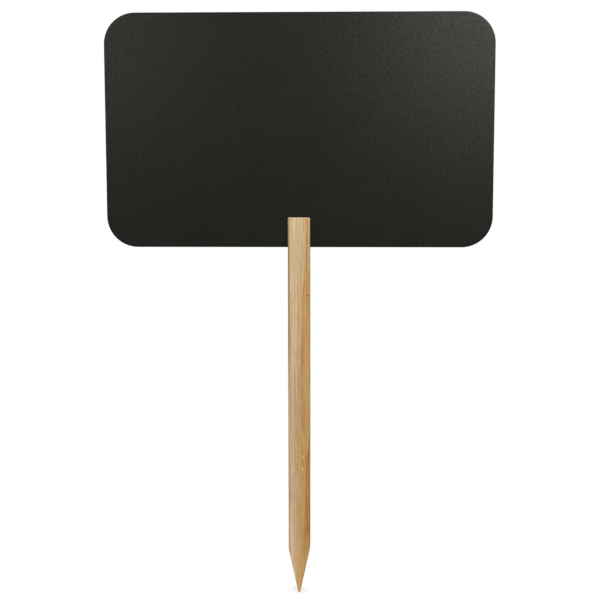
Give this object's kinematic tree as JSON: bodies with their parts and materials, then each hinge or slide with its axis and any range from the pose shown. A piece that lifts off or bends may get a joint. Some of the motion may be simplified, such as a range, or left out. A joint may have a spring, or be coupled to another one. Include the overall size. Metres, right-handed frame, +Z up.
{
  "type": "plant label stake",
  "caption": "Rounded rectangular black chalkboard panel held in the slotted top of a square wooden stake with a two-bevel point, for labelling plants in soil.",
  "frame": {"origin": "middle of the narrow land at the stake's tip, the end that is pushed into the soil", "axes": "+Z up along the stake, +Y through the board from front to back, +X to the right as seen from the front"},
  "size_m": [0.2, 0.0116, 0.3045],
  "materials": {
    "stake_wood": "planed bare softwood",
    "board_core": "black dyed hardboard, sawn and sanded edge",
    "writing_face": "fine pebbled matt chalkboard laminate"
  },
  "bodies": {
    "stake": {"stake": "stake_wood"},
    "board": {"board_core": "board_core", "front_writing_face": "writing_face", "rear_writing_face": "writing_face"}
  },
  "joints": [
    {"name": "board_lift", "type": "slide", "parent": "stake", "child": "board", "axis": [0, 0, 1], "range_m": [0, 0.02]}
  ]
}
